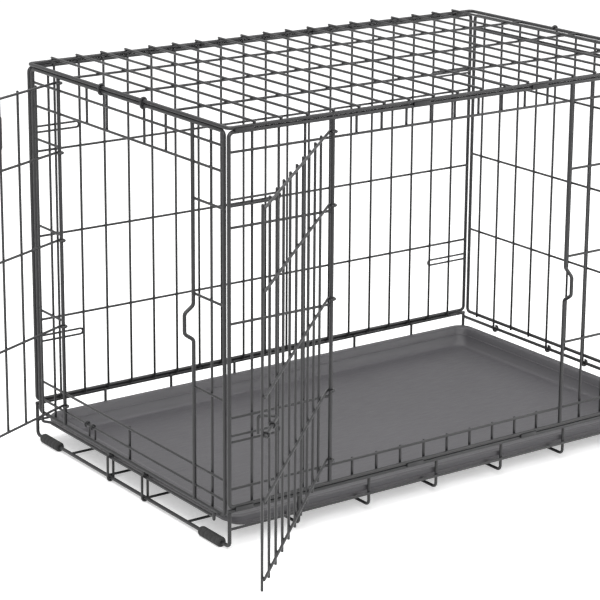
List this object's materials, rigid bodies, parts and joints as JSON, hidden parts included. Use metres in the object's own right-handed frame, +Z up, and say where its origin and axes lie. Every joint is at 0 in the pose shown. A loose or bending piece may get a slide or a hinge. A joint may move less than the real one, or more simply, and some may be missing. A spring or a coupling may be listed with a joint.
{
  "type": "wire dog crate",
  "caption": "Black wire dog crate with a hinged side door and end door standing open, slide bolts, a plastic floor pan and a fold-in end panel.",
  "frame": {"origin": "the centre of the pan's flat floor, 15.8 mm above the ground", "axes": "+X along the crate from the end door to the fold-in end panel, +Y to the closed long side, +Z up"},
  "size_m": [1.0539, 0.7395, 0.533],
  "materials": {
    "black_wire": "satin black coat on steel wire",
    "clip_steel": "satin black crimped steel",
    "foot_rubber": "matt black rubber sleeve",
    "pan_plastic": "fine grained moulded plastic",
    "plate": "plain black plate, no marking"
  },
  "bodies": {
    "crate_box": {"base_end_frames": "black_wire", "base_side_rails": "black_wire", "base_cross_wires": "black_wire", "base_floor_wires": "black_wire", "right_hinge_rail": "black_wire", "rubber_feet": "foot_rubber", "front_panel_frame": "black_wire", "front_hinge_post": "black_wire", "front_latch_post": "black_wire", "front_panel_bars": "black_wire", "front_panel_rows": "black_wire", "back_panel_frame": "black_wire", "back_panel_bars": "black_wire", "back_panel_rows": "black_wire", "roof_frame": "black_wire", "roof_cross_wires": "black_wire", "roof_long_wires": "black_wire", "left_panel_frame": "black_wire", "end_hinge_post": "black_wire", "end_latch_post": "black_wire", "left_panel_bars": "black_wire", "left_panel_rows": "black_wire", "front_top_clips": "clip_steel", "back_top_clips": "clip_steel", "front_bottom_clips": "clip_steel", "back_bottom_clips": "clip_steel", "left_side_hooks": "black_wire", "right_side_hooks": "black_wire", "left_top_hooks": "black_wire", "right_top_hooks": "black_wire"},
    "front_door": {"front_door_bars": "black_wire", "front_door_hinge_wires": "black_wire", "front_bolt_guides": "black_wire"},
    "front_bolt": {"front_bolt": "black_wire"},
    "end_door": {"end_door_bars": "black_wire", "end_door_hinge_wires": "black_wire", "end_bolt_guides": "black_wire", "name_plate": "plate"},
    "end_bolt": {"end_bolt": "black_wire"},
    "right_end_panel": {"right_panel_frame": "black_wire", "right_panel_bars": "black_wire", "right_panel_hinge_wires": "black_wire", "right_panel_rows": "black_wire"},
    "pan": {"pan": "pan_plastic"},
    "pan_gate": {"pan_gate_bar": "black_wire", "pan_gate_links": "black_wire"},
    "pan_stop": {"pan_stop": "black_wire"}
  },
  "joints": [
    {"name": "front_door_hinge", "type": "hinge", "parent": "crate_box", "child": "front_door", "pos_m": [-0.2286, -0.239, 0.2742], "axis": [0, 0, -1], "range_deg": [-136.35, 23]},
    {"name": "end_door_hinge", "type": "hinge", "parent": "crate_box", "child": "end_door", "pos_m": [-0.3785, 0.161, 0.2742], "axis": [0, 0, -1], "range_deg": [-64.95, 95]},
    {"name": "front_bolt_slide", "type": "slide", "parent": "front_door", "child": "front_bolt", "axis": [-0.7242, -0.6896, 0], "range_m": [0, 0.018]},
    {"name": "end_bolt_slide", "type": "slide", "parent": "end_door", "child": "end_bolt", "axis": [-0.9063, -0.4226, 0], "range_m": [0, 0.018]},
    {"name": "pan_slide", "type": "slide", "parent": "crate_box", "child": "pan", "axis": [1, 0, 0], "range_m": [0, 0.7]},
    {"name": "pan_gate_hinge", "type": "hinge", "parent": "crate_box", "child": "pan_gate", "pos_m": [-0.3785, 0, -0.0096], "axis": [0, -1, 0], "range_deg": [0, 85]},
    {"name": "pan_stop_swing", "type": "hinge", "parent": "crate_box", "child": "pan_stop", "pos_m": [-0.3777, 0.096, 0.0462], "axis": [0, -1, 0], "range_deg": [0, 90]},
    {"name": "right_panel_fold", "type": "hinge", "parent": "crate_box", "child": "right_end_panel", "pos_m": [0.3785, 0, 0.0302], "axis": [0, -1, 0], "range_deg": [0, 88]}
  ]
}
